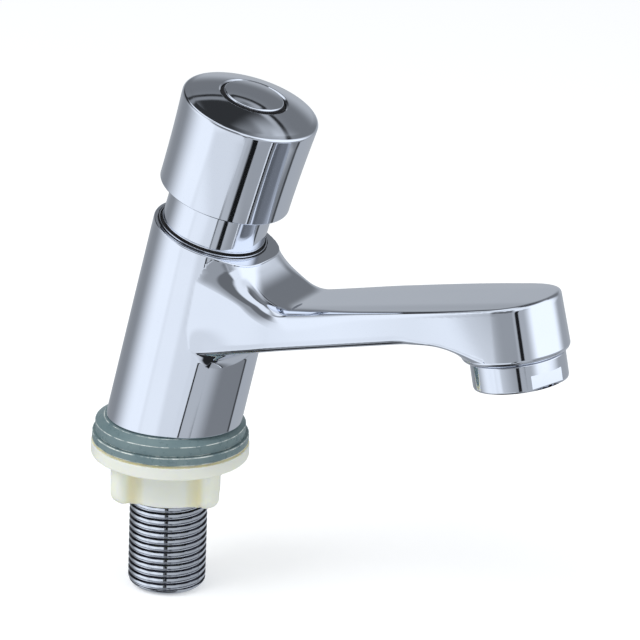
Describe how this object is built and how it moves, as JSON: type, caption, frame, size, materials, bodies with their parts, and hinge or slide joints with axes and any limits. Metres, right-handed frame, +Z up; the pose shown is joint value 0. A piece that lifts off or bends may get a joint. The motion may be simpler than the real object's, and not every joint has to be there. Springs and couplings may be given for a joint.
{
  "type": "push timed tap",
  "caption": "Self-closing basin pillar tap with a leaning barrel, a sprung push button, a rising spout with an aerator, and a threaded shank with washers and a winged backnut.",
  "frame": {"origin": "shank axis at the underside of the upper gasket, where the tap sits on the basin's deck", "axes": "+Z up along the shank, +X forward along the spout, +Y to the tap's left"},
  "size_m": [0.1328, 0.0414, 0.1402],
  "materials": {
    "chrome": "polished plating on brass",
    "brass": "machined",
    "steel": "turned",
    "gasket": "translucent blue-grey rubber",
    "seal": "black rubber",
    "nut_plastic": "ivory moulded plastic",
    "inner_plastic": "moulded acetal"
  },
  "bodies": {
    "tap": {"tap_body": "chrome", "bonnet": "chrome", "rim_seal": "seal", "trim_ring": "chrome", "guide_bush": "inner_plastic", "stem_oring": "seal", "dashpot_sleeve": "inner_plastic", "valve_seat": "brass", "return_spring": "steel", "shank": "chrome", "shank_seal": "seal", "inlet_filter": "inner_plastic", "aerator_housing": "chrome", "aerator_gasket": "seal", "aerator_core": "inner_plastic", "aerator_screen": "steel", "upper_gasket": "gasket"},
    "button": {"push_cap": "chrome", "index_disc": "chrome", "cap_screw": "steel", "stem": "steel", "piston": "inner_plastic", "piston_seal": "seal", "seat_washer": "seal", "washer_cup": "brass", "stem_nut": "steel"},
    "clamp": {"lower_washer": "gasket"},
    "nut": {"backnut": "nut_plastic"}
  },
  "joints": [
    {"name": "button_push", "type": "slide", "parent": "tap", "child": "button", "axis": [-0.279, 0, -0.9603], "range_m": [0, 0.007], "stiffness_N_per_m": 2000, "springref_m": -0.004, "deforming": ["return_spring"]},
    {"name": "nut_travel", "type": "slide", "parent": "tap", "child": "clamp", "axis": [0, 0, -1], "range_m": [0, 0.02]},
    {"name": "nut_turn", "type": "hinge", "parent": "clamp", "child": "nut", "pos_m": [0, 0, -0.0022], "axis": [0, 0, -1], "range_deg": [0, 3970]}
  ],
  "couplings": [
    {"joint": "nut_turn", "follows": "nut_travel", "rad_per_m": 3463.7}
  ]
}
